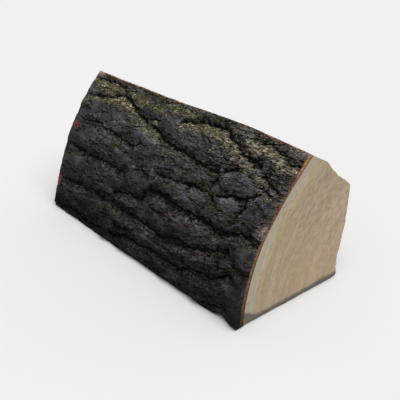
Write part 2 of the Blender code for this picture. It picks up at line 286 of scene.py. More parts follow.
class Paint:
    # builds the nodes of one material in a line each
    def __init__(self, material):
        self.nodes = material.node_tree.nodes
        self.links = material.node_tree.links
        self.place = self.nodes.new("ShaderNodeTexCoord").outputs["Object"]

    def feed(self, socket, value):
        if isinstance(value, bpy.types.NodeSocket):
            self.links.new(value, socket)
        else:
            socket.default_value = value

    def made(self, kind, output, inputs, **settings):
        # one node: its settings, what goes into it, and the output that is used
        node = self.nodes.new("ShaderNode" + kind)
        for name, value in settings.items():
            setattr(node, name, value)
        for name, value in inputs.items():
            self.feed(node.inputs[name], value)
        return node.outputs[output]

    def painted(self, name):        # a number stored in the mesh
        return self.made("Attribute", "Fac", {}, attribute_name=name)

    def stretched(self, scale, vector=None, turn=(0, 0, 0)):
        return self.made("Mapping", "Vector", {"Vector": vector or self.place, "Scale": scale,
                                               "Rotation": turn})

    def cloudy(self, scale, stretch=1.0, detail=5.0, rough=0.6, vector=None):
        # soft noise; stretch is its share along the grain, or along each axis
        if stretch != 1.0:
            vector = self.stretched(stretch if isinstance(stretch, tuple) else (stretch, 1.0, 1.0), vector)
        return self.made("TexNoise", "Fac", {"Vector": vector or self.place, "Scale": scale, "Detail": detail,
                                             "Roughness": rough})

    def sums(self, kind, a, b=0.0, c=0.0, clamp=False):
        return self.made("Math", 0, {0: a, 1: b, 2: c}, operation=kind, use_clamp=clamp)

    def times(self, a, b):
        return self.sums("MULTIPLY", a, b)

    def spread(self, value, low, high, newLow=0.0, newHigh=1.0, smooth=True):
        return self.made("MapRange", "Result", {"Value": value, "From Min": low, "From Max": high,
                                                "To Min": newLow, "To Max": newHigh},
                         interpolation_type="SMOOTHSTEP" if smooth else "LINEAR")

    def blended(self, share, a, b, kind="MIX"):
        a, b = [(*tone, 1.0) if isinstance(tone, tuple) else tone for tone in (a, b)]
        return self.made("Mix", 2, {0: share, 6: a, 7: b}, data_type="RGBA", blend_type=kind)

    def shaded(self, base, factor):
        return self.blended(1.0, base, factor, "MULTIPLY")

    def tinted(self, base, value, start, full, share, colour, within=None):
        # another colour: none of it where the value is start, its whole share where it is full
        amount = self.spread(value, start, full, 0.0, share)
        return self.blended(self.times(within, amount) if within else amount, base, colour)

    def ramp(self, value, stops):
        # a stop is its place and then its colour, or one number for a grey
        node = self.nodes.new("ShaderNodeValToRGB")
        elements = node.color_ramp.elements
        while len(elements) < len(stops):
            elements.new(0.5)
        for element, (spot, *colour) in zip(elements, stops):
            element.position = spot
            element.color = (*(colour * 3)[:3], 1.0)
        self.feed(node.inputs["Fac"], value)
        return node.outputs["Color"]

    def bump(self, height, strength, distance, under=None):
        inputs = {"Strength": strength, "Distance": distance, "Height": height}
        if under:
            inputs["Normal"] = under
        return self.made("Bump", "Normal", inputs)


def makeMesh(name, points, faces, material, painted):
    mesh = bpy.data.meshes.new(name)
    mesh.from_pydata([tuple(point) for point in points], [], faces)
    for label, values in painted.items():
        layer = mesh.attributes.new(label, "FLOAT", "POINT")
        layer.data.foreach_set("value", np.asarray(values, dtype=np.float32))
    mesh.materials.append(material)
    mesh.shade_smooth()
    mesh.update()
    piece = bpy.data.objects.new(name, mesh)
    bpy.context.scene.collection.objects.link(piece)
    return piece


# bark: broad plates between deep fissures, flaking in layers
barkLook = {
    "alongSteps": 390,
    "roundSteps": 222,
    "innerSteps": 14,
    "plateBase": 3.4, "plateCrown": 2.6,         # millimetres above the orange line
    "thinnest": 0.4,
    "levels": (1.0, 0.5, 0.0, -1.3, -2.6, -4.0),  # of the cut edge: shares of the bark, or mm into the orange
    "terrace": 0.8,                               # height of a step of the flaking layers
    "chip": (0.0028, 0.010),                      # of the sawn edge, in metres: depth, and how far in it goes
    "sink": 0.00035,                              # unevenness of the sawn bark, in metres
    "flakes": [                                   # length, width, step, tilt in millimetres, seed
        (24.0, 9.0, 1.1, 1.2, 11),
        (10.0, 4.2, 0.9, 1.0, 31),
        (4.4, 2.1, 0.60, 0.7, 51),
    ],
    "plates": [(114, 126, 25, 12.5, 1.5), (113, 105, 16, 8.0, 1.5)],   # raised plates: x, t, sizes, height
    "rust": [(-157, 104, 7, 6), (-162, 33, 3, 10)],
    "faintRust": [(28, 139, 4, 3), (-22, 56, 3, 4), (69, 65, 3, 5), (48, 71, 3, 4), (-28, 77, 4, 2),
                  (-19, 150, 3, 2)],
    "pale": [(-131, 158, 24, 8), (-108, 148, 22, 4), (-72, 162, 20, 8), (-38, 161, 14, 6), (-14, 168, 14, 5),
             (8, 168, 12, 4.5), (33, 161, 12, 4.5), (56, 160, 18, 3.5), (84, 155, 16, 6), (118, 163, 14, 4),
             (146, 158, 14, 6), (150, 125, 10, 3), (-158, 177, 16, 5)],
}


def fissureField(x, t, broken, swell):
    # in millimetres: groove depth, nearness of a fissure (0 to 1), its black crack, and the lip just
    # below it; broken says where the crack of a wide fissure shows, swell how wide a crack is
    groove, nearness, crack, lip = [np.zeros_like(x) for number in range(4)]
    for depth, halfWidth, points in fissures:
        line = np.array(points, dtype=float)
        steps = np.diff(line, axis=0)
        lengths = np.hypot(steps[:, 0], steps[:, 1])
        starts = np.concatenate(([0.0], np.cumsum(lengths)))
        distance, travel, side = np.full_like(x, 1e9), np.zeros_like(x), np.zeros_like(x)
        for start, step, length, before in zip(line[:-1], steps, lengths, starts):
            gap, share = segmentGap(x, t, start, step)
            closer = gap < distance
            distance = np.where(closer, gap, distance)
            travel = np.where(closer, before + share * length, travel)
            side = np.where(closer, step[0] * (t - start[1]) - step[1] * (x - start[0]), side)
        strength = smoothstep(0.0, 8.0, np.minimum(travel, starts[-1] - travel))
        wide = distance / halfWidth
        valley = 1.0 - smoothstep(0.0, np.where(side < 0, 2.6, 1.8), wide)
        core = 1.0 - smoothstep(0.0, 0.70, wide)
        groove = np.maximum(groove, depth * strength * mix(valley, core, 0.42))
        nearness = np.maximum(nearness, strength * np.exp(-(distance / 9.5) ** 1.4))
        whole = mix(1.0, broken, smoothstep(2.6, 3.8, halfWidth))
        black = 1.0 - smoothstep(0.10, 0.34, wide / swell)
        crack = np.maximum(crack, whole * strength * depth / 4.4 * black)
        below = smoothstep(0.5, 1.1, wide) * (1.0 - smoothstep(1.6, 2.8, wide))
        lip = np.maximum(lip, strength * (side < 0) * below)
    return groove, nearness, crack, lip


def blurred(field, reach):
    # mean over a square patch, by running sums
    for axis in (0, 1):
        width = [(reach + 1, reach) if a == axis else (0, 0) for a in (0, 1)]
        total = np.cumsum(np.pad(field, width, mode="edge"), axis=axis)
        size = 2 * reach + 1
        upper = np.take(total, range(size, total.shape[axis]), axis=axis)
        lower = np.take(total, range(0, total.shape[axis] - size), axis=axis)
        field = (upper - lower) / size
    return field


def spots(xs, ts, places, seed, full=0.6, end=1.05):
    # soft ragged patches at given places: x, t and the two sizes
    field = np.zeros_like(xs)
    ragged = 0.45 * roughNoise(xs / 5.0, ts / 4.0, seed)
    for midX, midT, sizeX, sizeT in places:
        away = np.hypot((xs - midX) / sizeX, (ts - midT) / sizeT) + ragged
        field = np.maximum(field, 1 - smoothstep(full, end, away))
    return field


def barkSurface(x, t, look):
    # x and t in metres; heights in millimetres above the orange line, with the masks that paint them
    xs, ts = x / mm, t / mm
    top = ts[:, -1:]
    down = ts - top

    def soft(sizeX, sizeT, seed):
        return softNoise(xs / sizeX, ts / sizeT, seed)

    def rough(sizeX, sizeT, seed, layers=4):
        return roughNoise(xs / sizeX, ts / sizeT, seed, layers)

    # the fissures wander, break off and swell
    swayedX = xs + uneven("swayAlong", x, t) / mm + (1.6 * soft(7.0, 5.0, 3) + 1.0 * soft(2.8, 2.4, 4))
    swayedT = ts + uneven("swayRound", x, t) / mm + (2.2 * soft(7.5, 6.0, 5) + 1.2 * soft(2.8, 2.2, 6))
    broken = smoothstep(-0.16, 0.16, rough(9.0, 5.0, 21))
    swell = mix(0.45, 1.45, smoothstep(-0.4, 0.4, rough(7.0, 5.0, 22)))
    groove, nearness, crack, lip = fissureField(swayedX, swayedT, broken, swell)
    farFade = smoothstep(-165.0, -138.0, xs)
    fade = mix(0.10, 1.0, farFade) * mix(1.0, 0.5, smoothstep(-7.0, 0.0, down))
    groove, crack, nearness = groove * fade, crack * mix(0.5, 1.0, fade), mix(0.45, nearness, farFade)
    plain = look["plateBase"] + look["plateCrown"] * (1 - nearness) - groove
    plain = plain + (uneven("swell", x, t) + uneven("lumps", x, t)) / mm
    onPlate = np.zeros_like(xs)
    for midX, midT, sizeX, sizeT, height in look["plates"]:
        away = np.hypot((swayedX - midX) / sizeX, (swayedT - midT) / sizeT)
        moat = 0.9 * bell(away, 1.05, 0.07)
        plain = plain + height * (1 - smoothstep(0.45, 1.0, away)) - moat
        onPlate = np.maximum(onPlate, 1 - smoothstep(0.75, 0.95, away))
    rings = np.sin(away * 22.0) * (away < 0.95)
    # smooth patches; the upper part by the sawn end is the crispest
    crisp = smoothstep(10.0, 95.0, xs) * smoothstep(100.0, 140.0, ts)
    smooth = smoothstep(-0.16, 0.16, rough(24.0, 10.0, 93)) * smoothstep(0.80, 0.35, nearness)
    smooth = np.maximum(smooth * (1 - 0.75 * crisp) * smoothstep(172.0, 148.0, ts), 0.75 * onPlate)
    shelter = (1 - 0.6 * np.clip(groove / 4.0, 0, 1)) * mix(0.3, 1.0, smoothstep(-165.0, -150.0, xs))
    shelter = shelter * (1 - 0.68 * smooth)
    # flakes of three sizes, each with its own level, lean and tone
    detail, tone, hue, edges, weight = 0.0, 0.0, 0.0, 1.0, 0.5
    for length, width, step, tilt, seed in look["flakes"]:
        warpX = xs + 0.35 * length * soft(length, width, seed + 7)
        warpT = ts + 0.45 * width * soft(length, width, seed + 8) - 0.10 * xs
        (level, leanX, leanT, offX, offT), edge = flakeCells(warpX / length, warpT / width, seed)
        detail = detail + step * (level - 0.5) + tilt * ((leanX - 0.5) * offX - (0.25 + 0.75 * leanT) * offT)
        edges = np.minimum(edges, 0.3 + smoothstep(0.0, 0.10, edge))
        tone = tone + weight * 2 * (level - 0.5)
        hue = hue + weight * 2 * (leanX - 0.5)
        weight *= 0.8
    detail += 0.55 * rough(9.0, 3.2, 71) + 0.50 * rough(2.6, 1.5, 72, layers=2)
    # a network of short fine cracks, closest in and beside the fissures, with few at the near foot
    network = np.abs(softNoise(warpX / 15.0, warpT / 4.6, 61))
    network = network + 0.5 * np.abs(softNoise(warpX / 6.0, warpT / 2.6, 62))
    high = smoothstep(118.0, 168.0, ts + 10 * rough(40.0, 20.0, 95))
    often = rough(18.0, 8.0, 63) + 0.50 * nearness + 0.15 * high + 0.45 * crisp
    corner = smoothstep(122.0, 142.0, xs) * smoothstep(62.0, 44.0, ts)
    where = smoothstep(0.0, 0.35, often - 0.60 * smooth) * (1 - 0.5 * corner)
    thin = (1 - smoothstep(0.03 + 0.06 * crisp, 0.13 + 0.16 * crisp, network)) * where * farFade
    crack = np.maximum(crack, 0.75 * thin)
    # the layers make terraces, and the near foot is worn
    height = plain + detail * shelter - 0.45 * (1 - edges) * shelter - 1.3 * crack + 0.15 * rings
    shift = 0.5 * soft(12.0, 8.0, 81)
    stack = height / look["terrace"] + shift
    terrace = look["terrace"] * (np.floor(stack) + smoothstep(0.45, 1.0, stack - np.floor(stack)) - shift)
    height = mix(height, terrace, 0.5) * mix(0.45, 1.0, smoothstep(0.0, 6.0, ts))
    worn = 0.9 * smoothstep(138.0, 150.0, xs) * smoothstep(64.0, 48.0, ts)
    height = mix(height, blurred(height, 5), worn)
    height = np.maximum(height, look["thinnest"] + 0.15 * soft(2.0, 2.0, 91))
    # where it faces, and where it is hollow
    rise = np.gradient(ts, axis=1)
    upward = smoothstep(0.02, 0.45, -np.gradient(blurred(height, 3), axis=1) / rise)
    facing = np.clip(-1.6 * np.gradient(blurred(plain, 5), axis=1) / rise, -1, 1)
    cavity = 0.7 * (blurred(height, 4) - height) / 0.8 + 0.5 * (blurred(height, 1) - height) / 0.25
    # moss on the upper lips and in pale patches
    pale = spots(xs, ts, look["pale"], 97, full=0.35, end=1.35)
    streaky = smoothstep(-0.12, 0.22, rough(8.0, 2.4, 96))
    onLips = high * (0.06 + 0.35 * upward + 1.1 * lip) * (1 - 0.6 * smooth)
    moss = np.clip(np.maximum(onLips, (0.85 + 0.15 * upward) * pale), 0, 1)
    moss = moss * mix(0.50 - 0.42 * crisp, 1.0, streaky) * (1 - crack) * (1 - 0.85 * onPlate)
    rust = np.maximum(spots(xs, ts, look["rust"], 98), 0.35 * spots(xs, ts, look["faintRust"], 98))
    # bark torn by the saw, and the bare edge along the split face
    near = smoothstep(156.5, 163.0, xs + 4 * rough(20.0, 2.4, 99))
    band = bell(ts, 96.0, 11.0, 4) + 0.6 * bell(ts, 128.0, 9.0) + 0.35 * smoothstep(150.0, 165.0, ts)
    strip = smoothstep(-14.0, -8.0, down) * smoothstep(62.0, 84.0, xs)
    torn = np.maximum(near * np.clip(band, 0.0, 1.0), 0.50 * strip)
    bare = smoothstep(-0.5, 0.1, rough(12.0, 40.0, 94) - 0.006 * (xs + 40.0))
    rim = np.maximum(bare, smoothstep(90.0, 125.0, xs)) * smoothstep(-1.7, -0.5, down)
    farTip = smoothstep(-146.0, -155.0, xs + 4 * rough(6.0, 3.0, 92))
    rim = np.maximum(rim, 0.7 * farTip * smoothstep(-7.0, -4.0, down))
    # the groove mask is painted shade: darker the deeper the fissure valley, and black in the cracks
    blotch = 0.26 + 0.34 * smoothstep(-0.25, 0.25, rough(10.0, 6.0, 23))
    masks = {"groove": np.clip(blotch * (groove / 4.5) ** 0.8 + 0.95 * crack, 0, 1),
             "cavity": np.clip(cavity, -1, 1), "facing": facing, "smooth": smooth, "moss": moss, "rust": rust,
             "torn": torn, "rim": rim, "climb": ts / top, "crisp": crisp,
             "tone": np.clip(tone + 0.35 * rings, -1, 1), "hue": np.clip(hue, -1, 1)}
    return height, masks


def makeBark(look):
    nx, nt, ni = look["alongSteps"], look["roundSteps"], look["innerSteps"]
    x = np.linspace(-halfLength, halfLength, nx + 1)[:, None]
    share = np.linspace(0.0, 1.0, nt + 1)[None, :]
    section = sectionAt(x)
    lift = barkLift(x)
    low, high = footAngle(section, section["radius"], lift), topAngle(section, section["radius"])
    t = share * (high - low) * section["radius"]
    height, masks = barkSurface(x + 0 * t, t, look)
    levels = look["levels"]
    inner = section["radius"] - logShape["innerBark"]

    def levelDepth(k, heights):
        # millimetres above the orange line, or into it
        return heights * levels[k] if levels[k] >= 0 else levels[k] + 0 * heights

    def levelRadius(k, heights):
        return section["radius"] + levelDepth(k, heights) * mm

    def ring(radius, shares):
        y, z = arcPoint(section, radius, shares, lift)
        return np.stack(np.broadcast_arrays(x, y, z), axis=-1)

    # the sawn edge is chipped a little, but not at the foot
    deepest, reach = look["chip"]
    chip = deepest * smoothstep(-0.3, 0.6, roughNoise(t / mm / 7.0, 0 * t, 41)) * smoothstep(0.04, 0.08, t)
    outer = ring(levelRadius(0, height), share)
    outer[:, :, 0] -= chip[-1:, :] * smoothstep(halfLength - reach, halfLength, x)
    topStrip = [ring(levelRadius(k, height[:, -1:]), np.ones((1, 1))) for k in range(1, len(levels))]
    inside = ring(inner, np.linspace(1.0, 0.0, ni + 1)[None, :])
    footStrip = [ring(levelRadius(k, height[:, :1]), np.zeros((1, 1))) for k in range(len(levels) - 1, 0, -1)]
    grid = np.concatenate([outer] + topStrip + [inside] + footStrip, axis=1)
    loop = grid.shape[1]
    index = np.arange((nx + 1) * loop).reshape(nx + 1, loop)
    after = np.roll(index, -1, axis=1)
    faces = np.stack([index[:-1], index[1:], after[1:], after[:-1]], axis=-1).reshape(-1, 4).tolist()
    points = [grid.reshape(-1, 3)]
    painted = {label: np.zeros((nx + 1, loop)) for label in list(masks) + ["layer"]}
    strip = len(levels) - 1
    for label, values in masks.items():
        painted[label][:, :nt + 1] = values
        painted[label][:, nt + 1:nt + 1 + strip] = values[:, -1:] * (0.3 if label == "rim" else 1.0)
        painted[label][:, -strip:] = values[:, :1]
    painted["layer"][:, :nt + 1] = height + 3.0        # the outside is dark, however thin the bark is
    for k in range(1, len(levels)):
        painted["layer"][:, nt + k] = levelDepth(k, height[:, -1])
        painted["layer"][:, loop - k] = levelDepth(k, height[:, 0])
    painted["layer"][:, nt + 1 + strip:loop - strip] = -logShape["innerBark"] / mm
    painted = {label: [values.ravel()] for label, values in painted.items()}
    count = (nx + 1) * loop
    insideStart = nt + 1 + strip
    for end, turned in ((0, False), (nx, True)):
        rows = [index[end, :nt + 1]]
        for k in range(1, len(levels)):
            one = {key: value[end:end + 1] if np.ndim(value) else value for key, value in section.items()}
            y, z = arcPoint(one, levelRadius(k, height)[end:end + 1], share, lift[end:end + 1])
            sink = look["sink"] * (0.5 + 0.5 * softNoise(t[end:end + 1] / mm / 1.6, 0 * y + k, 43))
            xs = np.full_like(y, x[end, 0]) - np.sign(x[end, 0]) * sink
            if turned:
                xs = xs - chip[-1:, :] * max(levels[k], 0.0) * 0.8
            ids = np.arange(count, count + nt - 1)
            count += nt - 1
            points.append(np.stack([xs, y, z], axis=-1)[0, 1:-1])
            painted["layer"].append(levelDepth(k, height[end, 1:-1]))
            for label in masks:
                painted[label].append(masks[label][end, 1:-1])
            rows.append(np.concatenate([[index[end, loop - k]], ids, [index[end, nt + k]]]))
        patch = []
        for upper, lower in zip(rows, rows[1:]):
            patch += [(upper[j], upper[j + 1], lower[j + 1], lower[j]) for j in range(nt)]
        coarse = index[end, insideStart:insideStart + ni + 1][::-1]
        patch += zipRows(rows[-1], coarse)
        faces += [tuple(int(v) for v in (face[::-1] if turned else face)) for face in patch]
    points = np.concatenate(points)
    points[:, 1] += shiftY
    painted = {label: np.concatenate(values) for label, values in painted.items()}
    grid = {"points": outer + np.array([0.0, shiftY, 0.0]), "t": t, "masks": masks}
    return makeMesh("bark_plates", points, faces, barkMaterial(), painted), grid


def zipRows(fine, coarse):
    # triangles between a row of many points and a row of few
    faces, ratio, low = [], (len(fine) - 1) / (len(coarse) - 1), 0
    for j in range(len(fine) - 1):
        goal = min(len(coarse) - 1, int(round((j + 0.5) / ratio)))
        if goal > low:
            faces.append((fine[j], coarse[goal], coarse[low]))
            low = goal
        faces.append((fine[j], fine[j + 1], coarse[low]))
    if low < len(coarse) - 1:
        faces.append((fine[-1], coarse[-1], coarse[low]))
    return faces


def barkMaterial():
    material, shader = newMaterial("rough dark bark")
    paint = Paint(material)
    names = "groove cavity layer moss rust torn climb tone hue facing smooth crisp rim".split()
    groove, cavity, layer, moss, rust, torn, climb, *others = [paint.painted(name) for name in names]
    tone, hue, facing, smooth, crisp, rim = others
    broad = paint.cloudy(34.0, 0.45)
    fine = paint.cloudy(300.0, 0.45, 6.0, 0.7)
    grit = paint.cloudy(520.0, 0.7, 4.0, 0.8)
    # cool grey plates, each flake with its own tone, browner and greener towards their edges
    base = paint.ramp(paint.sums("MULTIPLY_ADD", tone, 0.16, broad),
                      [(0.26, 0.030, 0.028, 0.030), (0.48, 0.062, 0.058, 0.063),
                       (0.64, 0.104, 0.100, 0.112), (0.76, 0.150, 0.146, 0.162)])
    green = paint.sums("MULTIPLY_ADD", hue, 0.20, paint.cloudy(75.0, 0.45, 4.0))
    brown = paint.sums("MULTIPLY_ADD", hue, -0.16, paint.cloudy(120.0, 0.45, 4.0))
    base = paint.tinted(base, green, 0.46, 0.68, 0.80, (0.058, 0.057, 0.034))
    base = paint.tinted(base, brown, 0.55, 0.72, 0.60, (0.098, 0.066, 0.052))
    mottle = paint.ramp(paint.cloudy(110.0, 0.6, 4.0), [(0.36, 0.056, 0.051, 0.058),
                                                        (0.52, 0.098, 0.091, 0.108),
                                                        (0.68, 0.158, 0.150, 0.178)])
    base = paint.blended(paint.times(smooth, 0.85), base, mottle)
    # pale olive lichen and moss, in streaks
    olive = paint.ramp(paint.cloudy(170.0, 0.7, 5.0, 0.65),
                       [(0.38, 0.045, 0.044, 0.020), (0.46, 0.200, 0.190, 0.090),
                        (0.53, 0.460, 0.430, 0.300), (0.61, 0.760, 0.720, 0.620)])
    cream = paint.ramp(fine, [(0.43, 0.010, 0.009, 0.006), (0.51, 0.095, 0.084, 0.042),
                              (0.58, 0.400, 0.345, 0.200), (0.66, 0.700, 0.620, 0.470)])
    base = paint.blended(paint.times(moss, 0.90), base, paint.blended(crisp, olive, cream))
    # grit, paler and darker patches, a painted highlight on the raised tops, and painted shade that darkens
    # the bark towards the foot
    speck = paint.ramp(grit, [(0.38, 0.22), (0.47, 0.75), (0.55, 1.20), (0.63, 2.30, 2.25, 2.15)])
    gritty = paint.sums("MULTIPLY_ADD", smooth, -0.55, 0.75)
    gritty = paint.sums("MULTIPLY_ADD", crisp, 0.35, gritty, clamp=True)
    base = paint.blended(gritty, base, paint.shaded(base, speck))
    base = paint.shaded(base, paint.ramp(paint.cloudy(90.0, 0.45), [(0.36, 0.62), (0.50, 1.0), (0.64, 1.38)]))
    # painted highlight: the tops that stand above their surroundings are painted lighter
    worn = paint.spread(cavity, -0.08, -0.75, 0.0, 0.75)
    base = paint.blended(worn, base, paint.shaded(base, (1.9, 1.85, 1.85)))
    # painted shade: the bark is painted darker the nearer it is to the foot
    footShade = paint.ramp(climb, [(0.00, 0.09, 0.09, 0.08), (0.10, 0.22, 0.21, 0.20), (0.20, 0.34, 0.33, 0.31),
                              (0.45, 0.47, 0.46, 0.43), (0.75, 0.75, 0.74, 0.73), (1.00, 0.98, 0.97, 0.92)])
    base = paint.shaded(base, footShade)
    # painted light and shade: what faces up is painted lighter and what faces down darker
    facingLight = paint.ramp(paint.spread(facing, -1.0, 1.0, smooth=False),
                        [(0.10, 0.54), (0.50, 0.95), (0.90, 1.45, 1.45, 1.42)])
    base = paint.shaded(base, facingLight)
    rusty = paint.ramp(grit, [(0.38, 0.060, 0.017, 0.015), (0.50, 0.150, 0.045, 0.040),
                              (0.62, 0.290, 0.120, 0.105)])
    base = paint.blended(paint.times(rust, 0.8), base, rusty)
    tornTone = paint.ramp(paint.cloudy(260.0, 0.18, 5.0, 0.7),
                          [(0.38, 0.040, 0.031, 0.026), (0.50, 0.170, 0.142, 0.118),
                           (0.62, 0.390, 0.335, 0.290)])
    base = paint.blended(paint.times(torn, 0.85), base, tornTone)
    # painted shade in the hollows and fissure valleys, black cracks, and the torn edge along the split face
    hollowShade = paint.spread(cavity, 0.05, 0.85, 1.0, 0.14)
    base = paint.shaded(base, paint.blended(hollowShade, (0.0, 0.0, 0.0), (1.0, 1.0, 1.0)))
    # painted shade: the fissure valleys darkened and the cracks black
    base = paint.tinted(base, groove, 0.18, 0.85, 0.95, (0.0026, 0.0022, 0.0019))
    along = paint.made("SeparateXYZ", "X", {0: paint.place})
    rimTone = paint.ramp(paint.spread(along, -halfLength, halfLength, smooth=False),
                         [(0.00, 0.560, 0.430, 0.360), (0.12, 0.760, 0.560, 0.400),
                          (0.50, 0.600, 0.400, 0.240), (0.80, 0.460, 0.210, 0.120),
                          (1.00, 0.460, 0.200, 0.110)])
    base = paint.blended(rim, base, paint.shaded(rimTone, paint.ramp(fine, [(0.38, 0.25), (0.60, 1.2)])))
    # the orange inner bark: its width and its colour change on the way up
    orange = paint.ramp(paint.cloudy(420.0, 0.25, 4.0),
                        [(0.34, 0.220, 0.085, 0.036), (0.50, 0.400, 0.185, 0.086),
                         (0.66, 0.520, 0.300, 0.175)])
    # soil and painted shade: the orange is painted darker towards the foot, greyest at the very foot
    soilAndShade = paint.ramp(climb, [(0.00, 0.15, 0.15, 0.16), (0.10, 0.26, 0.28, 0.31), (0.28, 0.48, 0.50, 0.54),
                              (0.52, 0.58, 0.56, 0.58), (0.62, 0.45, 0.43, 0.46), (0.80, 0.50, 0.46, 0.44),
                              (0.90, 0.95, 0.92, 0.88), (1.00, 1.05, 1.02, 1.00)])
    width = paint.ramp(climb, [(0.00, 0.12), (0.20, 0.08), (0.45, 0.14), (0.60, 0.26), (0.84, 0.24),
                               (0.94, 0.04), (1.00, 0.00)])
    ragged = paint.ramp(climb, [(0.00, 0.9), (0.46, 0.9), (0.58, 2.0), (0.84, 1.8), (0.94, 0.9)])
    edge = paint.times(ragged, paint.spread(fine, 0.3, 0.7, -1.0, 1.0))
    edge = paint.sums("ADD", layer, paint.sums("ADD", paint.times(width, 10.0), edge))
    paint.feed(shader.inputs["Base Color"],
               paint.blended(paint.spread(edge, -0.25, 0.25), paint.shaded(orange, soilAndShade), base))
    paint.feed(shader.inputs["Roughness"], paint.spread(fine, 0.3, 0.7, 0.85, 1.0))
    shader.inputs["Specular IOR Level"].default_value = 0.06
    paint.feed(shader.inputs["Normal"], paint.bump(grit, 0.8, 0.0007, paint.bump(fine, 0.7, 0.0012)))
    return material


bark, barkGrid = makeBark(barkLook)
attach(bark, "root")
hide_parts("bark")
print("bark made,", len(bark.data.polygons), "faces")


# what lies on the bark: pale fibres of lichen along the upper lips, and slivers of flaking bark
lyingLook = {
    "lichen_fibres": {
        "count": 3800, "stations": 5, "seed": 5,
        "length": (1.6, 4.6), "width": (0.30, 0.85), "height": (0.20, 0.50),       # millimetres
        "lift": (0.10, 0.60), "slant": (-14.0, 34.0),                             # degrees up from the grain
        "ramp": [(0.0, 0.030, 0.028, 0.016), (0.30, 0.130, 0.120, 0.062), (0.60, 0.330, 0.290, 0.175),
                 (0.82, 0.620, 0.540, 0.400), (1.0, 0.820, 0.770, 0.670)],
        "dull": 0.62,         # how light they are away from the sawn end, as a share
    },
    "bark_slivers": {
        "count": 4600, "stations": 4, "seed": 8,
        "length": (1.6, 5.0), "width": (0.35, 1.00), "height": (0.16, 0.45),
        "lift": (0.05, 0.55), "slant": (-4.0, 18.0),
        "ramp": [(0.0, 0.010, 0.009, 0.008), (0.35, 0.050, 0.043, 0.036), (0.65, 0.130, 0.118, 0.112),
                 (0.85, 0.260, 0.230, 0.190), (1.0, 0.460, 0.410, 0.340)],
        "dull": 0.55,
    },
}


def sampled(field, row, column):
    # values between the points of a grid
    row = np.clip(row, 0, field.shape[0] - 1.001)
    column = np.clip(column, 0, field.shape[1] - 1.001)
    low, left = np.floor(row).astype(int), np.floor(column).astype(int)
    up, over = row - low, column - left
    if field.ndim == 3:
        up, over = up[..., None], over[..., None]
    return (field[low, left] * (1 - up) * (1 - over) + field[low + 1, left] * up * (1 - over)
            + field[low, left + 1] * (1 - up) * over + field[low + 1, left + 1] * up * over)


def unit(vectors):
    return vectors / np.maximum(np.linalg.norm(vectors, axis=-1, keepdims=True), 1e-9)


def makeLying(name, setup, grid, density):
    # thin closed strips laid on the bark, thickest in the middle, each with its own tone
    rng = np.random.default_rng(setup["seed"])
    points, t = grid["points"], grid["t"]
    count, stations = setup["count"], setup["stations"]
    picked = rng.choice(density.size, size=count, p=(density / density.sum()).ravel())
    row = picked // density.shape[1] + rng.uniform(-0.5, 0.5, count)
    column = picked % density.shape[1] + rng.uniform(-0.5, 0.5, count)
    cellX = logShape["length"] / (points.shape[0] - 1)
    cellT = t.mean(axis=0)[-1] / (points.shape[1] - 1)
    length = rng.uniform(*setup["length"], count) * mm
    slant = np.radians(rng.uniform(*setup["slant"], count))
    curl = rng.normal(0.0, 0.25, count)
    share = np.linspace(0.0, 1.0, stations)
    turn = slant[:, None] + curl[:, None] * (share[None, :] - 0.5)
    reach = (share[None, :] - 0.5) * length[:, None]
    rows = row[:, None] + np.cos(turn) * reach / cellX
    columns = column[:, None] + np.sin(turn) * reach / cellT
    inRows = np.clip(rows, 0.6, points.shape[0] - 1.6)
    inColumns = np.clip(columns, 0.6, points.shape[1] - 1.6)
    smooth = np.stack([blurred(points[:, :, axis], 1) for axis in range(3)], axis=-1)
    normal = unit(np.cross(np.gradient(smooth, axis=0), np.gradient(smooth, axis=1)))
    up = sampled(normal, inRows, inColumns)
    lift = rng.uniform(*setup["lift"], count)[:, None] * (0.3 + 0.7 * np.abs(share[None, :] * 2 - 1)) * mm
    spine = sampled(smooth, inRows, inColumns) + up * lift[..., None]
    clear = ((spine - sampled(points, inRows, inColumns)) * up).sum(axis=-1).min(axis=1)
    spine -= up * np.maximum(clear + 0.06 * mm, 0.0)[:, None, None]            # none hangs clear of the bark
    side = unit(np.cross(up, unit(np.gradient(spine, axis=1))))
    taper = (0.25 + 0.75 * np.sin(math.pi * (0.12 + 0.80 * share)))[None, :, None]
    wide = side * rng.uniform(*setup["width"], count)[:, None, None] * mm * taper / 2
    thick = up * rng.uniform(*setup["height"], count)[:, None, None] * mm * taper
    corners = np.stack([spine - wide, spine + wide, spine + thick], axis=2)
    first = (np.arange(count) * stations * 3)[:, None, None]
    along = (np.arange(stations - 1) * 3)[None, :, None]
    edge = np.arange(3)[None, None, :]
    after = (edge + 1) % 3
    quads = np.stack([first + along + edge, first + along + after, first + along + 3 + after,
                      first + along + 3 + edge], axis=-1).reshape(-1, 4)
    starts = np.arange(count) * stations * 3
    ends = starts + (stations - 1) * 3
    caps = np.concatenate([np.stack([starts + 2, starts + 1, starts], axis=-1),
                           np.stack([ends, ends + 1, ends + 2], axis=-1)])
    faces = quads.tolist() + caps.tolist()
    crisp = sampled(grid["masks"]["crisp"], row, column)
    own = rng.uniform(0.0, 1.0, count) * mix(setup["dull"], 1.0, crisp)
    painted = {"own": np.repeat(own, stations * 3),
               "climb": np.repeat(sampled(grid["masks"]["climb"], inRows, inColumns).ravel(), 3)}
    return makeMesh(name, corners.reshape(-1, 3), faces, lyingMaterial(name, setup["ramp"]), painted)


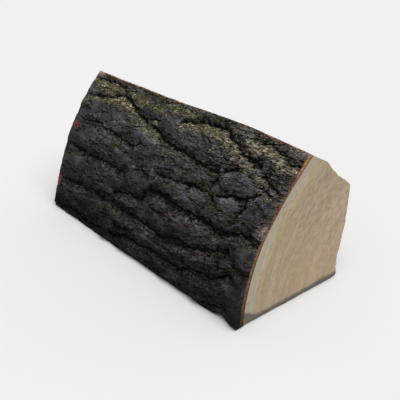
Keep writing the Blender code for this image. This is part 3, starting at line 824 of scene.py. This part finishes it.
def lyingMaterial(name, stops):
    material, shader = newMaterial(name.replace("_", " "))
    paint = Paint(material)
    grain = paint.cloudy(500.0, 0.4, 4.0, 0.7)
    tone = paint.sums("ADD", paint.painted("own"), paint.spread(grain, 0.3, 0.7, -0.25, 0.25))
    # painted shade: the strips are painted darker the nearer they lie to the foot
    footShade = paint.ramp(paint.painted("climb"), [(0.0, 0.25), (0.5, 0.55), (1.0, 0.95)])
    paint.feed(shader.inputs["Base Color"], paint.shaded(paint.ramp(tone, stops), footShade))
    paint.feed(shader.inputs["Roughness"], paint.spread(grain, 0.3, 0.7, 0.85, 1.0))
    shader.inputs["Specular IOR Level"].default_value = 0.06
    paint.feed(shader.inputs["Normal"], paint.bump(grain, 0.5, 0.0004))
    return material


# how thick they lie at each place: fibres in the moss, slivers on tops that aren't smooth
barkMasks = barkGrid["masks"]
openBark = (1 - barkMasks["groove"]) ** 2 * smoothstep(-163.0, -158.0, barkGrid["points"][:, :, 0] / mm)
onTops = 0.25 + 0.75 * smoothstep(0.1, -0.5, barkMasks["cavity"])
densities = {
    "lichen_fibres": ((barkMasks["moss"] ** 1.6 + 0.003) * (0.35 + 0.65 * barkMasks["crisp"]) * openBark
                      + 1e-9),
    "bark_slivers": 0.15 * barkMasks["crisp"] + onTops * (1 - 0.92 * barkMasks["smooth"]) * openBark + 1e-9,
}
for name, setup in lyingLook.items():
    lying = makeLying(name, setup, barkGrid, densities[name])
    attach(lying, "root")
    print(name, "made,", len(lying.data.polygons), "faces")


# wood: two sawn ends and the split faces behind the bark
woodLook = {
    "stations": 130,
    "arcSteps": 90,
    "splitSpacing": 0.0010,
    "bottomSpacing": 0.0026,
    "capSpacing": 0.0012,
    "fit": 0.00005,              # clearance under the bark
    "pith": (0.2053, -0.0113),   # where the growth rings centre (Y, Z of the section)
    "ringGap": 2.6,              # millimetres
    "sawSlant": -48.7,           # of the saw's strokes, in degrees
    "sawDepth": (0.16, 0.14),    # of the sawn face under its plane, and how uneven it is, in millimetres
    "soilAndShade": (8.2, 3.2, 1.2),     # height of the soil and painted shade at the foot, and its soft edge below and above
    "rest": (0.105, 0.032, 0.122, 0.014, 0.0011),   # flat spot: half length, front, back, edge, and clearance
    "broken": (0.0012, 0.0040),  # the broken lower edge of the near end: run and height
    "hollow": (0.0032, 0.024),   # the dip of the top split face: depth, and where it is full
    "topRelief": 0.35,           # share of the split relief that the top split face has
}


def undersideLift(x, y, look):
    long, front, back, edge, clearance = look["rest"]
    outside = np.maximum(np.abs(x) - long, np.maximum(front - y, y - back))
    run, height = look["broken"]
    broken = height * smoothstep(halfLength - run, halfLength, x)
    return smoothstep(0.0, edge, outside) * (clearance + uneven("underside", x, y) + broken)


def splitRelief(x, across):
    ledgeHeight = waves["splitLedges"][0]
    ledges = ledgeHeight * (smoothstep(-0.06, 0.06, uneven("splitLedges", x, across) / ledgeHeight) - 0.5)
    xs, cs = x / mm, across / mm
    drift = cs + 1.6 * softNoise(xs / 55.0, cs / 20.0, 205)
    fibres = 0.70 * roughNoise(xs / 70.0, drift / 3.4, 201)
    fibres = fibres + 0.40 * roughNoise(xs / 34.0, drift / 1.5, 202, layers=2)
    torn = smoothstep(0.0, 0.4, softNoise(xs / 50.0, drift / 10.0, 203))
    slivers = smoothstep(-0.05, 0.05, softNoise(xs / 26.0 + drift / 9.0, drift / 3.6, 204)) - 0.5
    fibres += torn * 1.3 * slivers
    fibres *= mix(0.35, 1.0, smoothstep(0.0, 0.008, halfLength - x))
    return uneven("splitRidges", x, across) + ledges, fibres * mm


def woodShell(x, look):
    # rings of points round the wood, one for each place along it, and each point's fibre relief in mm
    section = sectionAt(x)
    radius = section["radius"] - logShape["innerBark"] - look["fit"]
    lift = barkLift(x)
    footLift = np.minimum(undersideLift(x, arcPoint(section, radius, 0.0, 0.0)[0], look), 0.8 * lift)
    foot = arcPoint(section, radius, 0.0, footLift)
    arc = arcPoint(section, radius, np.linspace(0.0, 1.0, look["arcSteps"] + 1)[None, :], lift)
    corners = [tuple(between(far, near, section["share"]))
               for far, near in zip(logShape["cornersFar"], logShape["cornersNear"])]
    corners[-1] = (corners[-1][0], undersideLift(x, corners[-1][0], look))
    outline = [(arc[0][:, -1:], arc[1][:, -1:])] + corners + [foot]
    parts, reliefs, across = [foot, arc], [0 * foot[0], 0 * arc[0]], 0 * x
    for number, (start, end) in enumerate(zip(outline, outline[1:])):
        runY, runZ = end[0] - start[0], end[1] - start[1]
        run = np.hypot(runY, runZ)
        lowest = number == len(corners)
        spacing = look["bottomSpacing"] if lowest else look["splitSpacing"]
        count = max(3, int(run.max() / spacing))
        share = (np.arange(1, count if lowest else count + 1) / count)[None, :]
        y, z = start[0] + runY * share, start[1] + runZ * share
        wide = x + 0 * y
        coarse, fine = splitRelief(wide, across + share * run)
        if lowest:
            z = undersideLift(wide, y, look)
            z = z + np.where(z > 0.0006, np.maximum(fine, -0.0004), 0.0)
        else:
            fade = 1.0
            if number == 0:
                fade = look["topRelief"] * smoothstep(0.0, 0.5, share)
            elif number == 1:
                fade = mix(look["topRelief"], 1.0, share)
            elif number == len(corners) - 1:
                fade = 1.0 - smoothstep(0.6, 1.0, share)
            depth, reach = look["hollow"]
            hollow = depth * smoothstep(0.0, reach, halfLength - x) * np.sin(math.pi * share) * (number == 0)
            sunk = (coarse + fine) * fade + hollow
            y = y + runZ / run * sunk
            z = z - runY / run * sunk
        parts.append((y, z))
        reliefs.append(fine)
        across = across + run
    y = np.concatenate([part[0] for part in parts], axis=1)
    z = np.concatenate([part[1] for part in parts], axis=1)
    return y, z, np.concatenate(reliefs, axis=1) / mm


def capRelief(y, z, look, seed):
    # how far the sawn face lies below its plane, in millimetres, and where the saw's strokes show
    ys, zs = y / mm, z / mm
    sawn = smoothstep(-0.05, 0.5, 0.5 * softNoise(ys / 45.0, zs / 45.0, seed + 2)
                      + 0.9 * np.exp(-(((ys - 112.0) / 34.0) ** 2 + ((zs - 90.0) / 34.0) ** 2)))
    depth, roughness = look["sawDepth"]
    return depth + roughness * roughNoise(ys / 5.0, zs / 5.0, seed + 3), sawn


def capPatch(y, z, look, seed):
    # fills one sawn end: points inside its outline, and triangles over all of them
    spacing = look["capSpacing"]
    gridY, gridZ = np.meshgrid(np.arange(y.min(), y.max(), spacing),
                               np.arange(z.min(), z.max(), spacing * 0.87))
    gridY[1::2] += spacing / 2
    gridY += spacing * 0.18 * softNoise(gridY / spacing / 0.7, gridZ / spacing / 0.7, seed)
    spotY, spotZ = gridY.ravel(), gridZ.ravel()
    inside, nearest = np.zeros(len(spotY), dtype=bool), np.full(len(spotY), 1.0)
    for aY, aZ, bY, bZ in zip(y, z, np.roll(y, -1), np.roll(z, -1)):
        crosses = (aZ > spotZ) != (bZ > spotZ)
        cut = aY + (spotZ - aZ) * (bY - aY) / (bZ - aZ if bZ != aZ else 1.0)
        inside ^= crosses & (spotY < cut)
        nearest = np.minimum(nearest, segmentGap(spotY, spotZ, (aY, aZ), (bY - aY, bZ - aZ))[0])
    keep = inside & (nearest > spacing * 0.55)
    spotY, spotZ, nearest = spotY[keep], spotZ[keep], nearest[keep]
    allY, allZ = np.concatenate([y, spotY]), np.concatenate([z, spotZ])
    flat = [Vector(pair) for pair in zip(allY.tolist(), allZ.tolist())]
    result = delaunay_2d_cdt(flat, [], [list(range(len(y)))], 1, 1e-9)
    origin = [source[0] for source in result[3]]
    faces = [tuple(origin[corner] for corner in face) for face in result[2]]
    return spotY, spotZ, nearest, faces


def makeWood(look):
    run = look["broken"][0]
    x = np.concatenate([np.linspace(-halfLength, halfLength - run, look["stations"]),
                        np.linspace(halfLength - run, halfLength, 4)[1:]])[:, None]
    y, z, relief = woodShell(x, look)
    rows, loop = y.shape
    index = np.arange(rows * loop).reshape(rows, loop)
    after = np.roll(index, -1, axis=1)
    faces = np.stack([index[:-1], index[1:], after[1:], after[:-1]], axis=-1).reshape(-1, 4).tolist()
    xs, ys, zs = (x + 0 * y).ravel(), y.ravel(), z.ravel()
    fibre, cap, saw = relief.ravel(), np.zeros(rows * loop), np.zeros(rows * loop)
    count = rows * loop
    for row, side, seed in ((0, -1.0, 301), (rows - 1, 1.0, 351)):
        spotY, spotZ, nearest, patch = capPatch(y[row], z[row], look, seed)
        depth, strokes = capRelief(spotY, spotZ, look, seed)
        fade = smoothstep(0.0, 0.0016, nearest)
        xs = np.concatenate([xs, side * (halfLength - depth * fade * mm)])
        ys, zs = np.concatenate([ys, spotY]), np.concatenate([zs, spotZ])
        cap = np.concatenate([cap, np.ones(len(spotY))])
        cap[index[row]] = 0.6
        saw, fibre = np.concatenate([saw, strokes]), np.concatenate([fibre, 0 * spotY])
        ids = np.concatenate([index[row], np.arange(count, count + len(spotY))])
        count += len(spotY)
        turned = [ids[list(face)] for face in patch]
        first = turned[0]
        area = ((ys[first[1]] - ys[first[0]]) * (zs[first[2]] - zs[first[0]])
                - (ys[first[2]] - ys[first[0]]) * (zs[first[1]] - zs[first[0]]))
        faces += [tuple(face if area * side > 0 else face[::-1]) for face in turned]
    section = sectionAt(xs)
    fromMiddle = np.hypot(ys - section["centreY"], zs - section["centreZ"])
    depth = (section["radius"] - logShape["innerBark"] - fromMiddle) / mm
    pithY, pithZ = look["pith"]
    ring = np.hypot(ys - pithY, zs - pithZ) / mm
    turn = np.arctan2(zs - pithZ, pithY - ys) * 110.0
    side, rise = ys / mm, zs / mm
    # soil and painted shade along the foot of the near end, highest at the bark's corner
    high, below, above = look["soilAndShade"]
    border = high + 0.9 * roughNoise(side / 12.0, 0 * side, 331, layers=3)
    border = border + 1.2 * bell(side, 118.0, 16.0)
    border = border + 9.5 * smoothstep(27.0, 3.0, side) + 0.8 * roughNoise(side / 4.0, rise / 4.0, 332)
    soilAndShade = (1.0 - smoothstep(border - below, border + above, rise)) * smoothstep(0.155, 0.163, xs)
    painted = {"depth": depth, "ring": ring, "turn": turn, "cap": cap, "saw": saw, "fibre": fibre,
               "soilAndShade": soilAndShade}
    faces = [tuple(int(v) for v in face) for face in faces]
    points = np.stack([xs, ys + shiftY, zs], axis=-1)
    return makeMesh("billet_wood", points, faces, woodMaterial(look), painted)


def woodMaterial(look):
    material, shader = newMaterial("pale sawn and split wood")
    paint = Paint(material)
    names = ("depth", "ring", "turn", "cap", "saw", "fibre", "soilAndShade")
    depth, ring, turn, cap, saw, fibre, soilAndShade = [paint.painted(name) for name in names]
    # the sawn faces, by how deep under the bark: a pale band, a yellow one, then beige
    polar = paint.made("CombineXYZ", 0, {0: ring, 1: turn})
    wander = paint.cloudy(0.06, detail=3.0, vector=polar)
    band = paint.sums("ADD", depth, paint.spread(wander, 0.25, 0.75, -3.0, 3.0, smooth=False))
    sawn = paint.ramp(paint.spread(band, 0.0, 80.0, smooth=False),
                      [(0.00, 0.442, 0.430, 0.352), (0.115, 0.446, 0.424, 0.340), (0.15, 0.452, 0.366, 0.214),
                       (0.24, 0.432, 0.342, 0.200), (0.33, 0.404, 0.318, 0.206), (0.65, 0.410, 0.314, 0.206),
                       (0.90, 0.470, 0.336, 0.226)])
    streaks = paint.cloudy(1.0, (0.55, 0.035, 1.0), 6.0, 0.62, polar)
    calm = paint.spread(depth, 22.0, 60.0, 0.42, 0.12)        # the streaks fade away from the bark
    years = paint.sums("SINE", paint.sums("ADD", paint.times(ring, 2 * math.pi / look["ringGap"]),
                                          paint.times(wander, 18.0)))
    grain = paint.cloudy(1.0, (2.0, 2.0, 1.0), 4.0, 0.7, polar)
    mottle = paint.cloudy(1.0, (0.34, 0.20, 1.0), 4.0, 0.6, polar)
    bands = paint.cloudy(1.0, (0.11, 0.014, 1.0), 2.0, 0.5, polar)
    slanted = paint.stretched((1.0, 1.0, 1.0), turn=(math.radians(look["sawSlant"]), 0.0, 0.0))
    strokes = paint.cloudy(1.0, (1.0, 130.0, 720.0), 2.0, 0.5, slanted)
    dashes = paint.cloudy(1.0, (1.0, 170.0, 700.0), 2.0)
    for tint in ((streaks, 0.52, 0.34, 1.0, (0.270, 0.200, 0.115), calm),
                 (streaks, 0.50, 0.66, 1.0, (0.500, 0.435, 0.325), calm),
                 (years, 0.4, 1.0, 0.24, (0.240, 0.170, 0.100)),
                 (grain, 0.50, 0.36, 0.45, (0.230, 0.175, 0.105)),
                 (grain, 0.50, 0.64, 0.36, (0.540, 0.455, 0.330)),
                 (mottle, 0.50, 0.34, 0.26, (0.250, 0.190, 0.115)),
                 (mottle, 0.50, 0.66, 0.26, (0.560, 0.475, 0.350)),
                 (bands, 0.50, 0.34, 0.20, (0.300, 0.215, 0.120)),
                 (bands, 0.50, 0.66, 0.24, (0.530, 0.470, 0.360)),
                 (strokes, 0.48, 0.36, 0.60, (0.250, 0.190, 0.130), saw),
                 (strokes, 0.52, 0.66, 0.38, (0.530, 0.460, 0.355), saw),
                 (dashes, 0.34, 0.27, 0.60, (0.170, 0.120, 0.075))):
        sawn = paint.tinted(sawn, *tint)
    # the split faces: long fibres, with painted shade in the gaps between them and a painted highlight on
    # their tops
    long = paint.cloudy(260.0, 0.030, 7.0, 0.72)
    hair = paint.cloudy(900.0, 0.022, 4.0, 0.75)
    broad = paint.cloudy(26.0, 0.22, 4.0)
    split = paint.ramp(long, [(0.34, 0.190, 0.122, 0.066), (0.45, 0.350, 0.252, 0.152),
                              (0.54, 0.450, 0.352, 0.230), (0.66, 0.600, 0.500, 0.365)])
    for tint in ((broad, 0.46, 0.62, 0.50, (0.360, 0.225, 0.125)),
                 (broad, 0.46, 0.34, 0.45, (0.520, 0.440, 0.310)),
                 (hair, 0.50, 0.36, 0.70, (0.150, 0.092, 0.048)),
                 (hair, 0.52, 0.64, 0.55, (0.640, 0.550, 0.420)),
                 # painted shade in the fibre gaps and painted highlight on the fibre tops
                 (fibre, -0.1, -0.8, 0.60, (0.170, 0.112, 0.062)),
                 (fibre, 0.1, 0.8, 0.35, (0.600, 0.500, 0.370))):
        split = paint.tinted(split, *tint)
    # soil and painted shade: the foot of the near end is painted dark grey
    dirtAndShadeTone = paint.ramp(grain, [(0.38, 0.055, 0.050, 0.042), (0.62, 0.185, 0.170, 0.145)])
    tone = paint.blended(paint.times(soilAndShade, 0.95), paint.blended(cap, split, sawn), dirtAndShadeTone)
    paint.feed(shader.inputs["Base Color"], tone)
    paint.feed(shader.inputs["Roughness"], paint.spread(grain, 0.3, 0.7, 0.74, 0.92))
    shader.inputs["Specular IOR Level"].default_value = 0.30
    relief = paint.bump(paint.blended(cap, hair, grain), 0.55, 0.0005)
    paint.feed(shader.inputs["Normal"], paint.bump(long, 0.25, 0.0008, relief))
    return material


wood = makeWood(woodLook)
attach(wood, "root")
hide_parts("wood")
print("wood made,", len(wood.data.polygons), "faces")


# floor and light
studio = {
    "floorHalf": 10.0,
    "floorTone": (0.93, 0.93, 0.93),
    "worldStrength": 0.45,
    "sunStrength": 1.77,
    "sunFrom": (0.45, -0.10, 0.90),
    "sunSoftness": 50.0,
}


def makeStudio(setup):
    half = setup["floorHalf"]
    material, shader = newMaterial("plain pale floor")
    shader.inputs["Base Color"].default_value = (*setup["floorTone"], 1.0)
    shader.inputs["Roughness"].default_value = 0.95
    shader.inputs["Specular IOR Level"].default_value = 0.0
    corners = [(-half, -half, 0), (half, -half, 0), (half, half, 0), (-half, half, 0)]
    floor = makeMesh("floor", corners, [(0, 1, 2, 3)], material, {})
    world = bpy.data.worlds.new("studio")
    world.use_nodes = True
    world.node_tree.nodes["Background"].inputs["Color"].default_value = (1.0, 1.0, 1.0, 1.0)
    world.node_tree.nodes["Background"].inputs["Strength"].default_value = setup["worldStrength"]
    bpy.context.scene.world = world
    sun = bpy.data.lights.new("sun", "SUN")
    sun.energy, sun.angle = setup["sunStrength"], math.radians(setup["sunSoftness"])
    lamp = bpy.data.objects.new("sun", sun)
    lamp.rotation_euler = Vector(setup["sunFrom"]).to_track_quat("Z", "Y").to_euler()
    bpy.context.scene.collection.objects.link(lamp)
    bpy.context.scene.view_settings.view_transform = "Standard"


makeStudio(studio)
print("floor and light set")
